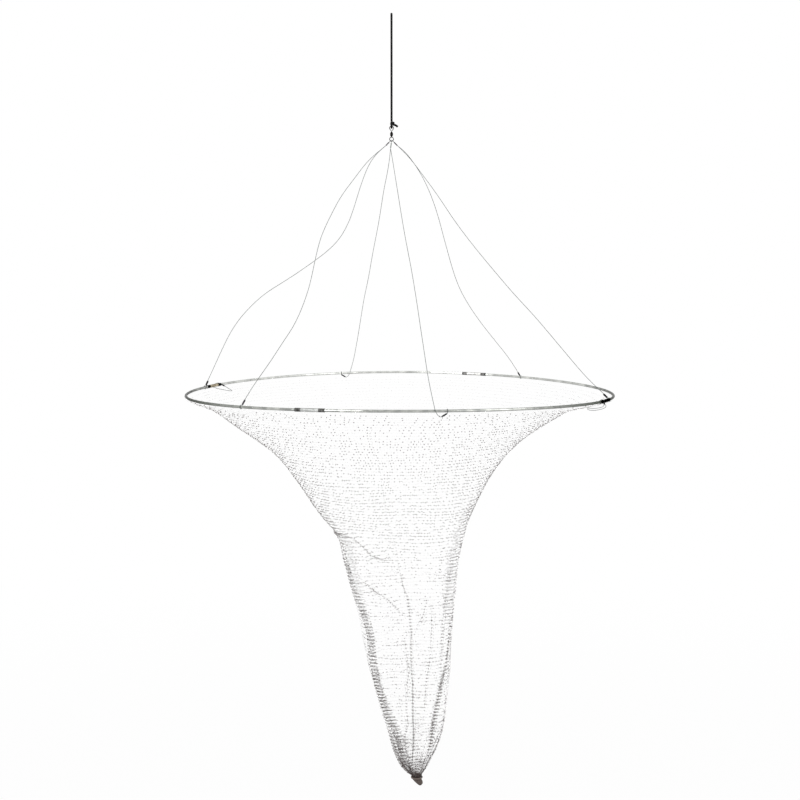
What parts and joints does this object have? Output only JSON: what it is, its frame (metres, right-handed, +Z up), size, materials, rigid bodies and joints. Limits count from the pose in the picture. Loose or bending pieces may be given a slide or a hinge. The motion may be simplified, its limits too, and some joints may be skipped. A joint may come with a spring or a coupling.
{
  "type": "crab hoop net",
  "caption": "Round steel hoop with a long tapering net bag, hung by mono lines from a swivel and a lifting rope, for lifting crabs out of the water.",
  "frame": {"origin": "centre of the lifting rope's cut top end", "axes": "+Z up along the rope; +X right and +Y away as the object is seen in the picture"},
  "size_m": [0.9139, 0.914, 1.6685],
  "materials": {
    "rope": "laid black cord, dull",
    "swivel_wire": "black finish, semi-gloss",
    "mono": "clear monofilament, slightly green",
    "crimp": "black oxide, crimped",
    "rod": "bright drawn rod",
    "coupling": "plain tube",
    "collar": "black sleeve",
    "net": "white square-mesh netting",
    "tie": "gathered netting and tie cord"
  },
  "bodies": {
    "rope": {"lifting_rope": "rope", "rope_knot": "rope"},
    "upper_eye": {"swivel_upper_eye": "swivel_wire"},
    "barrel": {"swivel_barrel": "swivel_wire"},
    "lower_eye": {"swivel_lower_eye": "swivel_wire"},
    "bridle": {"bridle_line_left": "mono", "bridle_line_middle": "mono", "bridle_line_right": "mono", "top_crimp_left": "crimp", "top_crimp_middle": "crimp", "top_crimp_right": "crimp"},
    "hoop": {"hoop_section_right": "rod", "hoop_section_back": "rod", "hoop_section_left": "rod", "hoop_section_front": "rod", "hoop_coupling_front_right": "coupling", "hoop_coupling_back_right": "coupling", "hoop_coupling_back_left": "coupling", "hoop_coupling_front_left": "coupling", "coupling_collar_front_right_1": "collar", "coupling_collar_front_right_2": "collar", "coupling_collar_back_right_1": "collar", "coupling_collar_back_right_2": "collar", "coupling_collar_back_left_1": "collar", "coupling_collar_back_left_2": "collar", "coupling_collar_front_left_1": "collar", "coupling_collar_front_left_2": "collar", "hoop_crimp_front_left": "crimp", "hoop_crimp_back_left": "crimp", "hoop_crimp_back": "crimp", "hoop_crimp_front": "crimp", "hoop_crimp_back_right": "crimp", "hoop_crimp_front_right": "crimp", "tether_loop_left": "mono", "tether_loop_right": "mono", "tether_crimp_left": "crimp", "tether_crimp_right": "crimp", "net": "net"},
    "net_tail": {"net_tie": "tie", "net_tuft": "tie"}
  },
  "joints": [
    {"name": "upper_eye_swing", "type": "hinge", "parent": "rope", "child": "upper_eye", "pos_m": [0, 0, -0.233], "axis": [1, 0, 0], "range_deg": [-60, 60]},
    {"name": "upper_swivel_turn", "type": "hinge", "parent": "upper_eye", "child": "barrel", "pos_m": [0, 0, -0.2455], "axis": [0, 0, 1], "continuous": true},
    {"name": "lower_swivel_turn", "type": "hinge", "parent": "barrel", "child": "lower_eye", "pos_m": [0, 0, -0.255], "axis": [0, 0, 1], "continuous": true},
    {"name": "bridle_swing", "type": "hinge", "parent": "lower_eye", "child": "bridle", "pos_m": [0, 0, -0.2644], "axis": [1, 0, 0], "range_deg": [-30, 30]},
    {"name": "bridle_slack", "type": "slide", "parent": "bridle", "child": "hoop", "axis": [0, 0, 1], "range_m": [0, 0.4], "deforming": ["bridle_line_left", "bridle_line_middle", "bridle_line_right"]},
    {"name": "net_collapse", "type": "slide", "parent": "hoop", "child": "net_tail", "axis": [0, 0, 1], "range_m": [0, 0.72], "deforming": ["net"]}
  ]
}
